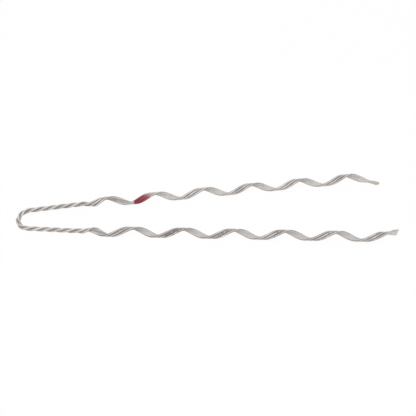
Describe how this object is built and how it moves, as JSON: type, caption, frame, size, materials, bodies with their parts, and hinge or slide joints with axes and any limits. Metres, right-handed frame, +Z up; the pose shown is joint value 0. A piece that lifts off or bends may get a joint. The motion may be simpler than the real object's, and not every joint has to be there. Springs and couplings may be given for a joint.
{
  "type": "preformed dead end grip",
  "caption": "Wire grip for an overhead conductor: wires laid side by side form a closed eye and two open left hand helical legs with a grit lining.",
  "frame": {"origin": "middle of the footprint, on the bench that the grip lies on", "axes": "+X from the eye towards the legs' free ends, +Y across towards the leg with the colour mark, +Z up"},
  "size_m": [0.4116, 0.09, 0.0127],
  "materials": {
    "wire": "satin aluminium cladding on drawn wire",
    "grit": "fine pale grit bonded with adhesive",
    "mark_paint": "thin dull red paint, streaky at its edge"
  },
  "bodies": {
    "root": {"wire_1_marked_leg_far": "wire", "wire_1_marked_leg_near": "wire", "wire_1_eye": "wire", "wire_1_plain_leg_near": "wire", "wire_1_plain_leg_far": "wire", "wire_2_marked_leg_far": "wire", "wire_2_marked_leg_near": "wire", "wire_2_eye": "wire", "wire_2_plain_leg_near": "wire", "wire_2_plain_leg_far": "wire", "wire_3_marked_leg_far": "wire", "wire_3_marked_leg_near": "wire", "wire_3_eye": "wire", "wire_3_plain_leg_near": "wire", "wire_3_plain_leg_far": "wire", "grit_lining_marked_leg": "grit", "grit_lining_plain_leg": "grit", "colour_mark": "mark_paint"}
  },
  "joints": []
}
